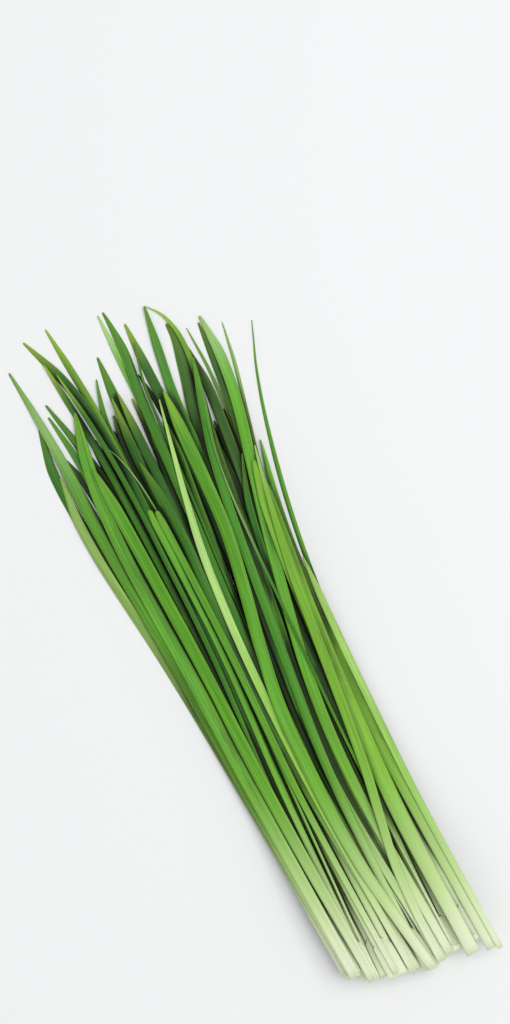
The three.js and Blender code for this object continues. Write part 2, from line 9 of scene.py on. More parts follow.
import bpy
import numpy as np
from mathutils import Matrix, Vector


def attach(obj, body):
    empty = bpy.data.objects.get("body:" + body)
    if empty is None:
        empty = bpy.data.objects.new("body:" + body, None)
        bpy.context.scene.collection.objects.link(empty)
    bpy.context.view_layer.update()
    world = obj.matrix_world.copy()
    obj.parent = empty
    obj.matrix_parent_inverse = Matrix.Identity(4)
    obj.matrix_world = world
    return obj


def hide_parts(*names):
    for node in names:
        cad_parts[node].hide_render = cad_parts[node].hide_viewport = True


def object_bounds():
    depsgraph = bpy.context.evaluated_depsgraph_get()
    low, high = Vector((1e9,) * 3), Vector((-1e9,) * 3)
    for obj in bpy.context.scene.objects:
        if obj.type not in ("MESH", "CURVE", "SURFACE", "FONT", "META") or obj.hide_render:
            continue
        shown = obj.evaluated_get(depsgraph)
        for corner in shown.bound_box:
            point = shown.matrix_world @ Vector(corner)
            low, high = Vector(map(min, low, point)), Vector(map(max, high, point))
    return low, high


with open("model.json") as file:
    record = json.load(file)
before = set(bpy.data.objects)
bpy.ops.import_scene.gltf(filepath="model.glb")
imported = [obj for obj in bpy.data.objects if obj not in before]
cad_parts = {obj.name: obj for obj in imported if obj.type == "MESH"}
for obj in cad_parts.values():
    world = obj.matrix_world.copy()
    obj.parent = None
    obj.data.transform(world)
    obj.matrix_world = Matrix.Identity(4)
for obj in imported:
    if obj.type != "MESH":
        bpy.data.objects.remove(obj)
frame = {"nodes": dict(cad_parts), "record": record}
solid_box = [list(corner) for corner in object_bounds()]
MM = 0.001
print("solid box in mm:", [[round(v / MM, 1) for v in corner] for corner in solid_box])

# %% [markdown]
# The solids arrive as loose triangles, each with corner points of its own. Merging the points
# that coincide shows which triangles join. In edit mode that would be Merge by Distance, but
# arrays do it for every solid in a moment and leave the solids alone.

# %% Corner points of a solid
WELD = 1e-6


def welded(node):
    """Corner points of a solid with doubles merged, and its triangles as point numbers."""
    mesh = frame["nodes"][node].data
    raw = np.empty(len(mesh.vertices) * 3)
    mesh.vertices.foreach_get("co", raw)
    mesh.calc_loop_triangles()
    corners = np.empty(len(mesh.loop_triangles) * 3, np.int64)
    mesh.loop_triangles.foreach_get("vertices", corners)
    places = np.round(raw.reshape(-1, 3) / WELD).astype(np.int64)
    unique, where = np.unique(places, axis=0, return_inverse=True)
    return unique * WELD, where.reshape(-1)[corners.reshape(-1, 3)]


print("corner points of leaf_01:", len(welded("leaf_01")[0]))

# %% [markdown]
# Triangles that share points are one body. In edit mode one key selects what is linked. Here
# every point has a label, and the labels pass along the edges until each body has only one.

# %% Bodies of a solid
def chains(points, triangles):
    """Groups of joined points: every edge passes on the lower label until none changes."""
    label = np.arange(len(points))
    edges = np.concatenate([triangles[:, [0, 1]], triangles[:, [1, 2]], triangles[:, [2, 0]]])
    while True:
        lowest = np.minimum(label[edges[:, 0]], label[edges[:, 1]])
        before = label.copy()
        np.minimum.at(label, edges[:, 0], lowest)
        np.minimum.at(label, edges[:, 1], lowest)
        if np.array_equal(before, label):
            return [np.flatnonzero(label == k) for k in np.unique(label)]


print("bodies in leaf_01:", len(chains(*welded("leaf_01"))))

# %% [markdown]
# Each solid leaf is a chain of four-cornered sections, so its course can be read straight
# from its corner points: sort them along the leaf, take them four at a time, and each four
# gives the middle, the half width, the thickness and the lean at that place. The courses
# could be typed in again, but then a change to the solids would leave the leaves behind.

# %% Sections of a leaf
def read_sections(corners):
    """Rows of y, middle x, underside z, half width, thickness and lean, foot to tip."""
    corners = corners[np.argsort(corners[:, 1], kind="stable")].reshape(-1, 4, 3)
    corners = np.take_along_axis(corners, np.argsort(corners[:, :, :1], axis=1), axis=1)
    left, right = corners[:, 0], corners[:, 3]
    middle = (left + right) / 2
    half = (right[:, 0] - left[:, 0]) / 2
    lean = (right[:, 2] - left[:, 2]) / (2 * half)
    thick = corners[:, 1:3, 2].mean(1) - middle[:, 2]
    return np.column_stack([middle[:, 1], middle[:, 0], middle[:, 2], half, thick, lean])


print("sections of leaf_01:", len(read_sections(welded("leaf_01")[0])))

# %% [markdown]
# Chive leaves that grew together rise from one sheath, and their solids are one body up to
# its mouth. Only the points above the mouth are kept, so the body falls apart into a chain
# for each leaf. A section is then added to each, down in the sheath, where a leaf starts.

# %% Leaves of a shoot
ABOVE_SHEATH = 18 * MM
ROOT_ABOVE_CUT = 2 * MM
ROOT_SPLAY = 0.6
ROOT_WIDTH = 0.95


def rooted(leaf, foot):
    """Adds a first section at the foot. It goes on down from the two lowest, but splays
    ROOT_SPLAY as much and is ROOT_WIDTH as wide, so that the leaves stay in their sheath."""
    low, next_up = leaf[0], leaf[1]
    slope = (next_up[1] - low[1]) / (next_up[0] - low[0])
    root = low.copy()
    root[0] = foot
    root[1] = low[1] + slope * (foot - low[0]) * ROOT_SPLAY
    root[3] = low[3] * ROOT_WIDTH
    return np.vstack([root, leaf])


def leaf_sections(node):
    """A list of leaves, each as rows of sections; those in a sheath run on into it."""
    points, triangles = welded(node)
    foot = points[:, 1].min()
    fused = not node.startswith("leaf")
    kept = points[:, 1] > foot + ABOVE_SHEATH if fused else np.ones(len(points), bool)
    number = np.cumsum(kept) - 1
    inside = kept[triangles].all(1)
    groups = chains(points[kept], number[triangles[inside]])
    leaves = [read_sections(points[kept][group]) for group in groups]
    if fused:
        leaves = [rooted(leaf, foot + ROOT_ABOVE_CUT) for leaf in leaves]
    return sorted(leaves, key=lambda leaf: leaf[0, 1])


shoots = {node: leaf_sections(node) for node in sorted(frame["nodes"])}
print("leaves read:", sum(len(leaves) for leaves in shoots.values()))

# %% [markdown]
# A leaf bends gently from its foot to its tip. Straight runs from section to section would
# show as kinks, so a curve goes through the sections. A Bezier curve could be set by hand for
# each leaf, but its handles would swing height and width past what was read, and leaves would
# cut into each other. Here those two are held back.

# %% Smooth course
def smooth_along(y, values, fine, limited=False):
    """Cubic Hermite curve through the values. Its slope at each is the chord over its two
    neighbours or, if limited, the harmonic mean of the slopes beside it, which never
    overshoots."""
    step = np.diff(y)
    rise = np.diff(values) / step
    slope = np.concatenate([rise[:1], (values[2:] - values[:-2]) / (y[2:] - y[:-2]), rise[-1:]])
    if limited:
        product = rise[:-1] * rise[1:]
        total = np.where(product > 0, rise[:-1] + rise[1:], 1)
        slope[1:-1] = np.where(product > 0, 2 * product / total, 0)
    i = np.clip(np.searchsorted(y, fine, side="right") - 1, 0, len(step) - 1)
    t = (fine - y[i]) / step[i]
    return ((2 * t**3 - 3 * t**2 + 1) * values[i] + (t**3 - 2 * t**2 + t) * step[i] * slope[i]
            + (3 * t**2 - 2 * t**3) * values[i + 1] + (t**3 - t**2) * step[i] * slope[i + 1])


steps = np.arange(4.0)
print("0, 1, 1, 0 made smooth, at 1.5:", smooth_along(steps, steps * (3 - steps) / 2, 1.5))
print("and held back:", smooth_along(steps, steps * (3 - steps) / 2, 1.5, limited=True))

# %% [markdown]
# Leaves and sheaths are both tubes whose section changes along them. A curve with a bevel
# could sweep one section, but not change its form on the way, so rings of points are worked
# out first and one function skins them.

# %% Closed surface from rings
def loft(rings):
    """Skins rings of points, given as (rows, points, 3), into one closed surface. Each end
    has a fan of triangles to its middle; the first end is a flat cut. Rings run over the
    top towards +x and back under, so that the faces look outwards."""
    rows, loop, _ = rings.shape
    points = np.vstack([rings.reshape(-1, 3), rings[0].mean(0), rings[-1].mean(0)])
    row, column = np.meshgrid(np.arange(rows - 1), np.arange(loop), indexing="ij")
    here = (row * loop + column).ravel()
    beside = (row * loop + (column + 1) % loop).ravel()
    sides = np.column_stack([here, beside, beside + loop, here + loop])
    ring = np.arange(loop)
    after = (ring + 1) % loop
    last = (rows - 1) * loop
    cut = np.column_stack([after, ring, np.full(loop, rows * loop)])
    far = np.column_stack([last + ring, last + after, np.full(loop, rows * loop + 1)])
    rounded = np.concatenate([np.ones(len(sides), bool), np.zeros(loop, bool), np.ones(loop, bool)])
    return points, sides.tolist() + cut.tolist() + far.tolist(), rounded


print("faces of a tube with 3 rings of 8 points:", len(loft(np.zeros((3, 8, 3)))[1]))

# %% [markdown]
# A chive leaf that has been cut and laid flat is a narrow strap. Its section is a thin lens:
# some leaves keep a low ridge along the middle, others a shallow gutter, and the edges are
# thin and round. A flat strip with a bevel would be simpler, but it would catch the light
# like tape. One loop of points holds the lens, the ridge and the gutter.

# %% Section of a leaf
ACROSS = 9
UNDER_HOLLOW = 0.25


def section_loop(fold):
    """Across a in -1..1 and up in thicknesses, once round the leaf. The top is a lens,
    sqrt(1 - a^4), times a ridge 1 - |a| or a gutter |a| as strong as fold; the underside is
    slightly hollow, UNDER_HOLLOW (1 - |fold|) (1 - a^2)."""
    a = -np.cos(np.linspace(0, np.pi, ACROSS))
    lens = np.sqrt(np.clip(1 - a**4, 0, 1))
    shape = (1 - np.abs(a)) if fold > 0 else np.abs(a)
    top = lens * (1 - abs(fold) * (1 - shape))
    under = UNDER_HOLLOW * (1 - abs(fold)) * (1 - a**2)
    across = np.concatenate([a, a[-2:0:-1]])
    up = np.concatenate([top, under[-2:0:-1]])
    return across, up


print("a ridge, foot of the loop to its far edge:", section_loop(0.5)[1][:ACROSS].round(2))
print("a gutter:", section_loop(-0.5)[1][:ACROSS].round(2))

# %% [markdown]
# Towards its tip a leaf draws in to a small rounded end. The rows of its surface crowd there,
# where the form changes fast. Even rows would need many more for the same tip.

# %% Rows along a leaf
ROWS = 64
TIP_ROWS = 7
CROWDING = 1.25
TIP_LEAST = 0.5 * MM
TIP_LENGTH = 1.3
LAST_WIDTH = 0.02


def rows_along(leaf):
    """Places along a leaf, and the share of its width left at each. The rows crowd towards
    the tip as 1 - (1 - t)^CROWDING. The rounded end is TIP_LENGTH half widths long; over it
    the place runs as the sine of a quarter turn and the width as its cosine."""
    foot, tip = leaf[0, 0], leaf[-1, 0]
    end = max(TIP_LEAST, TIP_LENGTH * leaf[-1, 3])
    body = foot + (tip - end - foot) * (1 - (1 - np.linspace(0, 1, ROWS)) ** CROWDING)
    turn = np.linspace(0, np.pi / 2, TIP_ROWS)[1:]
    fine = np.concatenate([body, tip - end * (1 - np.sin(turn))])
    width_left = np.concatenate([np.ones(ROWS), np.maximum(np.cos(turn), LAST_WIDTH)])
    return fine, width_left


print("last rows before the tip of leaf_01, in mm:",
      ((shoots["leaf_01"][0][-1, 0] - rows_along(shoots["leaf_01"][0])[0][-9:]) / MM).round(2))

# %% [markdown]
# The skin changes along a leaf. Near the foot, where little light reached it, the green is
# lighter, and wax bloom or a stain sits in one place. Such marks could be painted, but each
# leaf would need a picture. Here each is a curve over the leaf's length, kept at its points,
# and the skin only reads the value.

# %% Marks along a leaf
STALK_REACH = (20, 125, 0.65)
STAIN_ACROSS = 0.5


def fading(from_foot, reach):
    """Strength up to the start of the reach, then a smooth fall, 3 t^2 - 2 t^3, to none."""
    start, end, strength = reach
    t = np.clip((from_foot - start) / (end - start), 0, 1)
    return strength * (1 - 3 * t**2 + 2 * t**3)


def bump(along, place):
    """Strength times exp(-((y - centre) / spread)^2), the three of them given in place."""
    centre, spread, strength = place
    return strength * np.exp(-((along / MM - centre) / spread) ** 2)


def skin_values(along, foot, tip, across, look):
    """What the skin reads at each point: distances from foot and tip in mm, the place across
    in -1..1, and how strong each mark is. A stain fades out over STAIN_ACROSS sideways."""
    none = np.zeros(len(along))
    return {
        "from_foot": (along - foot) / MM,
        "to_tip": (tip - along) / MM,
        "across": across,
        "shade": none + look["shade"],
        "stalk": fading((along - foot) / MM, look["stalk"]),
        "aged": none + look["aged"],
        "bloom": bump(along, look["bloom"]),
        "stain": bump(along, look["stain"]) * np.exp(-(across / STAIN_ACROSS) ** 2),
    }


print("stalk green at 0, 50 and 100 mm:", fading(np.array([0, 50, 100]), STALK_REACH).round(2))

# %% [markdown]
# Now a whole leaf. A strap could be modelled once and bent to each course with a Curve
# modifier, but every leaf has its own widths, thickness and lean. So the section is carried
# along the course, row by row, as one array.

# %% A whole leaf
def leaf_surface(leaf, look):
    """Points, faces, shading and skin values of one leaf: at each row the loop is scaled to
    the half width and the thickness there, leaned, and set on the course."""
    y = leaf[:, 0]
    fine, width_left = rows_along(leaf)
    x = smooth_along(y, leaf[:, 1], fine)
    z, half, thick, lean = [smooth_along(y, leaf[:, k], fine, limited=True) for k in range(2, 6)]
    across, up = section_loop(look["fold"])
    side = across * (half * width_left)[:, None]
    height = z[:, None] + side * lean[:, None] + up * (thick * np.sqrt(width_left))[:, None]
    rings = np.stack([x[:, None] + side, fine[:, None] + 0 * side, height], axis=2)
    points, faces, rounded = loft(rings)
    sideways = np.concatenate([np.tile(across, len(fine)), [0, 0]])
    return points, faces, rounded, skin_values(points[:, 1], y[0], y[-1], sideways, look)


NOWHERE = (0, 1, 0)
plain = {"fold": 0.5, "shade": 0.5, "stalk": STALK_REACH, "aged": 0,
         "bloom": NOWHERE, "stain": NOWHERE}
print("faces of leaf_01:", len(leaf_surface(shoots["leaf_01"][0], plain)[1]))

# %% [markdown]
# Leaves that grew together share a sheath at the foot, a short pale sleeve that clasps them.
# It is a flat tube, wide where it was cut, that draws in to a thin lip where the leaves come
# out. Its sizes could be guessed from the leaves, but the solid has them at both its ends.

# %% Size of a sheath
SHEATH_LENGTH = 16 * MM
SHEATH_ROWS = 14
LIP = np.array([0.1, 0, 0.5])
AT_END = 0.01 * MM


def sheath_rows(node):
    """The y of the foot, then for each row its share of the way to the mouth, its middle and
    its half size. These run straight from one end of the solid's sheath to the other, and
    the rows narrow and flatten by LIP share^3, so that the lip closes on the leaves."""
    solid, _ = welded(node)
    foot = solid[:, 1].min()
    ends = [solid[np.abs(solid[:, 1] - y) < AT_END] for y in (foot, foot + SHEATH_LENGTH)]
    low, high = [np.array([end.min(0), end.max(0)]) for end in ends]
    share = np.linspace(0, 1, SHEATH_ROWS)[:, None]
    centre = low.mean(0) * (1 - share) + high.mean(0) * share
    half = ((low[1] - low[0]) * (1 - share) + (high[1] - high[0]) * share) / 2
    return foot, share, centre, half * (1 - LIP * share**3)


print("half size of the foot of pair_01 in mm:", (sheath_rows("pair_01")[3][0] / MM).round(2))

# %% [markdown]
# The sheath swells over each leaf inside it. A plain oval would do from far off, but the
# swellings catch the light like the row of leaves they cover.

# %% Sheath surface
SHEATH_SIDES = 56
SHEATH_FURROW = 0.8
TONGUE = 3 * MM
FAR_TIP = 1.0


def sheath_surface(node, leaves, shade):
    """An oval at each row, cos by |sin|^0.8. It is furrowed between the leaves, ever deeper
    up to the mouth: its height is multiplied by
    1 - SHEATH_FURROW (0.3 + 0.7 share) cos^2(pi n (w + 1) / 2), for n leaves and w in -1..1
    across. The mouth runs out to a tongue: the rows fall back towards the sides by TONGUE
    times share^2 w^2."""
    foot, share, centre, half = sheath_rows(node)
    angle = np.linspace(0, 2 * np.pi, SHEATH_SIDES, endpoint=False)
    wide = -np.cos(angle)[None, :]
    tall = (np.sign(np.sin(angle)) * np.abs(np.sin(angle)) ** 0.8)[None, :]
    furrow = SHEATH_FURROW * (0.3 + 0.7 * share)
    tall = tall * (1 - furrow * np.cos(np.pi * leaves * (wide + 1) / 2) ** 2)
    points, faces, rounded = loft(np.stack([
        centre[:, :1] + half[:, :1] * wide,
        foot + SHEATH_LENGTH * share - TONGUE * share**2 * wide**2,
        centre[:, 2:] + half[:, 2:] * tall,
    ], axis=2))
    middle = np.zeros(len(points))
    values = skin_values(points[:, 1], foot, FAR_TIP, middle, {**plain, "shade": shade})
    return points, faces, rounded, values


print("faces of the sheath of pair_01:", len(sheath_surface("pair_01", 2, 0.5)[1]))

# %% [markdown]
# Little light gets down between leaves that lie close together, so the gaps in a real bunch
# look almost black. The lamps show some of that, and painted shade deepens it: the skin's
# colour is darkened by a shelter value at each point, which says how high the leaves beside
# the point stand over it. First comes what it is read from: a map of how high the bunch is,
# seen from above.

# %% Height of the heap
CELL = 0.4 * MM
MAP_MARGIN = 5 * MM
SAMPLES_ACROSS = 32


def cells(x, y):
    """Row and column of the map cell that holds each point."""
    return tuple(((value - low + MAP_MARGIN) / CELL).astype(int)
                 for value, low in zip((x, y), solid_box[0]))


def height_map(leaves):
    """The greatest height of any leaf in each cell. Every leaf is sampled at steps of half a
    cell along it and at SAMPLES_ACROSS places across; a sample stands at z + side * lean +
    thickness."""
    highest = np.zeros([int((high - low + 2 * MAP_MARGIN) / CELL) + 1
                        for low, high in zip(solid_box[0][:2], solid_box[1][:2])])
    for leaf in leaves:
        y = np.arange(leaf[0, 0], leaf[-1, 0], CELL / 2)
        columns = [np.interp(y, leaf[:, 0], column)[:, None] for column in leaf.T[1:]]
        x, z, half, thick, lean = columns
        side = half * np.linspace(-1, 1, SAMPLES_ACROSS)
        np.maximum.at(highest, cells(x + side, y[:, None] + 0 * side), z + side * lean + thick)
    return highest


heights = height_map([leaf for leaves in shoots.values() for leaf in leaves])
print("highest leaf in mm:", round(heights.max() / MM, 1))

# %% [markdown]
# The shelter is read a few steps to the left and right of each point. Light that comes in on
# one side is enough to show a leaf, so the more open side counts for more. An ambient
# occlusion node could gather this too, but it would do so again for each picture.

# %% Shelter between the leaves
SHELTER_ACROSS = np.array([-2.4, -1.8, -1.2, -0.6, 0.6, 1.2, 1.8, 2.4]) * MM
SHELTER_ALONG = np.array([-2.0, 0.0, 2.0]) * MM
SHELTER_SLACK = 0.3 * MM
SHELTER_DEPTH = 2.5 * MM
OPEN_SIDE = 0.75


def shelter(points):
    """How far the leaves beside each point stand over it beyond a slack, as a share of the
    full depth: the mean over the steps on its left, and on its right. The more open side
    counts OPEN_SIDE and the other the rest, so the outer edge of the bunch stays light."""
    across, along = [grid.ravel()[:, None] for grid in np.meshgrid(SHELTER_ACROSS, SHELTER_ALONG)]
    beside = heights[cells(points[:, 0] + across, points[:, 1] + along)]
    over = np.clip(beside - points[:, 2] - SHELTER_SLACK, 0, SHELTER_DEPTH)
    sides = [over[across[:, 0] < 0].mean(0), over[across[:, 0] > 0].mean(0)]
    return (OPEN_SIDE * np.minimum(*sides) + (1 - OPEN_SIDE) * np.maximum(*sides)) / SHELTER_DEPTH


for name in ("leaf_03", "leaf_15"):
    print("shelter of", name, "on average:", shelter(shoots[name][0][:, [1, 0, 2]]).mean().round(2))

# %% [markdown]
# Colours are picked on a screen, but light is worked out in linear values, so one function
# turns the first into the second. Six greens run from the palest leaf to the deepest. The
# rest tint a leaf in places: its edges, its stalk, its foot, its tip, a bloom or a stain.

# %% Colours
def linear(hex_colour):
    """Each sRGB channel c becomes c / 12.92 below 0.04045, else ((c + 0.055) / 1.055) ** 2.4."""
    channels = np.array([int(hex_colour[i:i + 2], 16) for i in (1, 3, 5)]) / 255
    low = channels / 12.92
    high = ((channels + 0.055) / 1.055) ** 2.4
    return (*np.where(channels <= 0.04045, low, high).tolist(), 1.0)


def darker(hex_colour, share):
    """The same colour with each sRGB channel multiplied by share, kept within range."""
    channels = [min(255, round(int(hex_colour[i:i + 2], 16) * share)) for i in (1, 3, 5)]
    return "#" + "".join(f"{c:02X}" for c in channels)


GREENS = {
    "leaf_pale": "#A6D36C",
    "leaf_bright": "#86C238",
    "leaf_fresh": "#66AC30",
    "leaf_mid": "#4C922A",
    "leaf_deep": "#357224",
    "leaf_dark": "#22501B",
}
# A painted highlight along the thin edges of a leaf, for light shining through them.
EDGE_LIGHT = "#B4E068"
STALK_GREEN = "#8FC648"
FOOT_PALE = "#D9EBB0"
CUT_WHITE = "#EFF5E0"
TIP_YELLOW = "#A9CC3C"
WAX_BLOOM = "#CBEBA8"
STAIN_BROWN = "#86702A"
print("mid green in linear light:", [round(c, 3) for c in linear(GREENS["leaf_mid"])])

# %% [markdown]
# A material is a tree of nodes. It could be wired by hand in the editor, but in code every
# number stays visible, and one small function keeps each node to one statement.

# %% Shader nodes
def add_node(tree, kind, settings=None, **links):
    """Adds a node. Settings are its properties. Links are its inputs, by name, or by number
    after an underscore, and each is a value or the socket that feeds it."""
    node = tree.nodes.new(kind)
    for key, value in (settings or {}).items():
        setattr(node, key, value)
    for key, value in links.items():
        socket = node.inputs[int(key[1:]) if key[1:].isdigit() else key.replace("_", " ")]
        if isinstance(value, bpy.types.NodeSocket):
            tree.links.new(value, socket)
        else:
            socket.default_value = value
    return node


# %% [markdown]
# A chive leaf isn't one green. Its foot is pale because it grew in the dark, and its tip
# turns yellow first. Two more tints stand in for light: a painted highlight along its thin
# edges, which let light through, and painted shade where it lies in a gap. None of these
# starts at a line. Each could be a ramp set by eye in the editor, but in one table their
# distances stand side by side, in mm. Less of the shelter counts near the foot, where the
# pale leaves pass light on.

# %% Fades of the skin
# Each fade: the value that it reads, two numbers in it, and what it gives at either.
FADES = {
    "streak": ("noise", 0.3, 0.7, 0.0, 1.0),
    # edge: a painted highlight along the leaf's thin edges.
    "edge": ("off_middle", 0.75, 1.0, 0.0, 0.4),
    # deep: darker green by the leaf's shade, a random tone plus painted shade on the fillers.
    "deep": ("shade", 0.0, 2.0, 0.0, 0.9),
    "foot": ("from_foot", 0.0, 80.0, 0.95, 0.0),
    "cut": ("from_foot", 0.0, 34.0, 0.6, 0.0),
    "tip": ("to_tip", 0.0, 20.0, 1.0, 0.0),
    "above_foot": ("from_foot", 0.0, 100.0, 0.2, 1.0),
    # light: painted shade, the colour scaled down where a leaf lies deep in a gap.
    "light": ("in_gap", 0.05, 0.33, 1.0, 0.12),
}

# A fade times a value of the leaf: how yellow its tip is, and how deep it lies in a gap, for the
# painted shade.
PRODUCTS = {"tip": ("yellow", "aged"), "above_foot": ("in_gap", "shelter")}
print("fades:", list(FADES))

# %% [markdown]
# The skin also grows in fine streaks of lighter and darker green along the leaf. A pattern
# laid on from above would run straight over the bends, so this one reads the values that
# each point of a leaf keeps. Real streaks are too fine to show, so they are drawn coarser:
# 11 over a leaf, or 0.3 mm wide on one of 3 mm, and 33 mm long.

# %% Colour of the skin
STREAKS_ACROSS = 11
STREAKS_ALONG = 0.03
LEAF_TO_LEAF = 40.0
LIGHT_STREAK = 1.16
DARK_STREAK = 0.84
DEEPEST_SHADE = 0.45


def skin_colour(tree, green, at, place):
    """The colour of the skin as a socket, from the sockets in at. Every fade is a smooth
    step between its two numbers. Each tint covers the ones before it by its own share; the
    edge tint is a painted highlight and the deep tint is partly painted shade. Painted shade
    then scales the result by the light that gets into a gap."""
    drawn_out = add_node(tree, "ShaderNodeVectorMath", {"operation": "MULTIPLY"}, _0=place,
                         _1=(STREAKS_ACROSS / 2, STREAKS_ALONG, LEAF_TO_LEAF)).outputs[0]
    at["noise"] = add_node(tree, "ShaderNodeTexNoise", Vector=drawn_out, Scale=1.0, Detail=5.0,
                           Roughness=0.7).outputs["Fac"]
    at["off_middle"] = add_node(tree, "ShaderNodeMath", {"operation": "ABSOLUTE"},
                                _0=at["across"]).outputs[0]
    for name, (value, low, high, start, end) in FADES.items():
        at[name] = add_node(tree, "ShaderNodeMapRange", {"interpolation_type": "SMOOTHSTEP"},
                            Value=at[value], From_Min=low, From_Max=high, To_Min=start,
                            To_Max=end).outputs["Result"]
        if name in PRODUCTS:
            product, other = PRODUCTS[name]
            at[product] = add_node(tree, "ShaderNodeMath", {"operation": "MULTIPLY"},
                                   _0=at[name], _1=at[other]).outputs[0]
    colour = linear(darker(green, DARK_STREAK))
    # The edge tint is a painted highlight; the deep tint is a random tone and, on the fillers,
    # painted shade.
    for share, tint in (("streak", darker(green, LIGHT_STREAK)), ("edge", EDGE_LIGHT),
                        ("deep", darker(green, DEEPEST_SHADE)), ("stalk", STALK_GREEN),
                        ("foot", FOOT_PALE), ("cut", CUT_WHITE), ("yellow", TIP_YELLOW),
                        ("bloom", WAX_BLOOM), ("stain", STAIN_BROWN)):
        colour = add_node(tree, "ShaderNodeMix", {"data_type": "RGBA"}, _0=at[share], _6=colour,
                          _7=linear(tint)).outputs[2]
    # Painted shade: the colour is scaled by the light that gets into the gap.
    return add_node(tree, "ShaderNodeVectorMath", {"operation": "SCALE"}, _0=colour,
                    Scale=at["light"]).outputs[0]


# %% [markdown]
# The skin is soft green flesh under a thin coat of wax, as it grew. To the eye that is satin:
# a broad, weak shine with a green cast, a soft glow where light passes through the flesh, and
# faint ribs along the leaf. All leaves share the recipe and only the green differs, so a skin
# is made once for each green. The IOR stays at 1.5, close to that of plant wax.

# %% Waxy leaf skin
SKIN_READS = ("across", "from_foot", "to_tip", "shade", "stalk", "aged", "bloom", "stain",
              "shelter")
RIB_SCALE = 1.7
RIB_HEIGHT = 0.1 * MM
GLOW_DEPTH = 0.6 * MM


def leaf_skin(slot, green):
    """Waxy chive skin. Its ribs are a wave with RIB_SCALE * 20 / pi crests over the leaf:
    eleven, so 0.3 mm apart on one of 3 mm, coarser than real ones so that they show."""
    material = bpy.data.materials.new("waxy_skin_" + slot)
    material.use_nodes = True
    tree = material.node_tree
    shader = tree.nodes["Principled BSDF"]
    at = {name: add_node(tree, "ShaderNodeAttribute", {"attribute_name": name}).outputs["Fac"]
          for name in SKIN_READS}
    place = add_node(tree, "ShaderNodeCombineXYZ", X=at["across"], Y=at["from_foot"],
                     Z=at["shade"]).outputs[0]
    ribs = add_node(tree, "ShaderNodeTexWave", {"bands_direction": "X"}, Vector=place,
                    Scale=RIB_SCALE, Distortion=0.6, Detail=1.0, Detail_Scale=0.4).outputs["Fac"]
    relief = add_node(tree, "ShaderNodeBump", Strength=0.35, Distance=RIB_HEIGHT, Height=ribs)
    tree.links.new(skin_colour(tree, green, at, place), shader.inputs["Base Color"])
    tree.links.new(relief.outputs[0], shader.inputs["Normal"])
    shader.inputs["Roughness"].default_value = 0.45
    shader.inputs["Specular IOR Level"].default_value = 0.25
    shader.inputs["Specular Tint"].default_value = (0.85, 1.0, 0.75, 1.0)
    shader.inputs["Subsurface Weight"].default_value = 0.12
    shader.inputs["Subsurface Radius"].default_value = (0.5, 1.0, 0.2)
    shader.inputs["Subsurface Scale"].default_value = GLOW_DEPTH
    return material


skins = {slot: leaf_skin(slot, green) for slot, green in GREENS.items()}
print("skins:", sorted(skins))

# %% [markdown]
# A piece is one or more closed surfaces in one mesh, with a value at each point for every
# thing that the skin reads. Leaves and sheath could be objects joined afterwards, but arrays
# go in whole, so even the full bunch takes a moment.

# %% One mesh for each piece
def joined(surfaces):
    """Several surfaces as one: point numbers of the later ones move past the earlier ones."""
    points, faces, rounded, values = zip(*surfaces)
    starts = np.cumsum([0] + [len(group) for group in points])
    moved = [[corner + start for corner in face] for group, start in zip(faces, starts)
             for face in group]
    merged = {key: np.concatenate([value[key] for value in values]) for key in values[0]}
    return np.vstack(points), moved, np.concatenate(rounded), merged


def mesh_object(name, points, faces, rounded, attributes):
    """An object at the origin: its points, its faces, which of them are shaded round, and
    one float per point for each attribute."""
    mesh = bpy.data.meshes.new(name)
    mesh.from_pydata(points.tolist(), [], faces)
    for key, values in attributes.items():
        layer = mesh.attributes.new(key, "FLOAT", "POINT")
        layer.data.foreach_set("value", values.astype(np.float32))
    mesh.polygons.foreach_set("use_smooth", rounded)
    mesh.update()
    made = bpy.data.objects.new(name, mesh)
    bpy.context.scene.collection.objects.link(made)
    return made


# %% [markdown]
# No two leaves look alike. Setting each by hand would take long, so ridge or gutter and a
# small difference in green are drawn at random, from a fixed seed so that the bunch is the
# same each time. The fillers deep in it are drawn darker on top of that, as painted shade.
# The leaves that stand out keep marks of their own: a patch of wax bloom, a brown stain, a
# yellowed tip, how far and how strongly the stalk is light, or a set shade.

# %% Looks of the leaves
dice = np.random.default_rng(7)
# Painted shade: fillers lie deep in the bunch, so their green is drawn darker.
FILLER_SHADE = 0.6
USUAL_AGE = 0.15
USUAL_BLOOM = (120, 35, 0.03)
BLOOMS = {("leaf_01", 0): (106, 20, 0.35), ("leaf_13", 0): (130, 12, 0.6),
          ("leaf_16", 0): (50, 45, 0.25), ("leaf_23", 0): (112, 14, 0.4),
          ("leaf_25", 0): (66, 14, 0.4), ("leaf_28", 0): (56, 26, 0.35),
          ("pair_01", 1): (80, 14, 0.6), ("pair_07", 1): (100, 30, 0.2)}
STAINS = {"leaf_29": (52, 9, 0.35)}
STALKS = {("leaf_16", 0): (90, 150, 0.95), ("leaf_21", 0): (250, 300, 0.12),
          ("pair_03", 0): (250, 300, 0.1), ("pair_03", 1): (250, 300, 0.5),
          ("pair_07", 0): (250, 300, 0.1), ("pair_07", 1): (250, 300, 0.6)}
AGED = {"leaf_07": 0.6, "leaf_08": 0.6, "leaf_10": 0.5, "leaf_14": 0.6, "leaf_17": 0.4,
        "leaf_20": 0.8, "leaf_30": 0.5, "pair_05": 0.8, "pair_06": 0.5}
SHADES = {"leaf_12": 0.7, "leaf_28": 0.9}


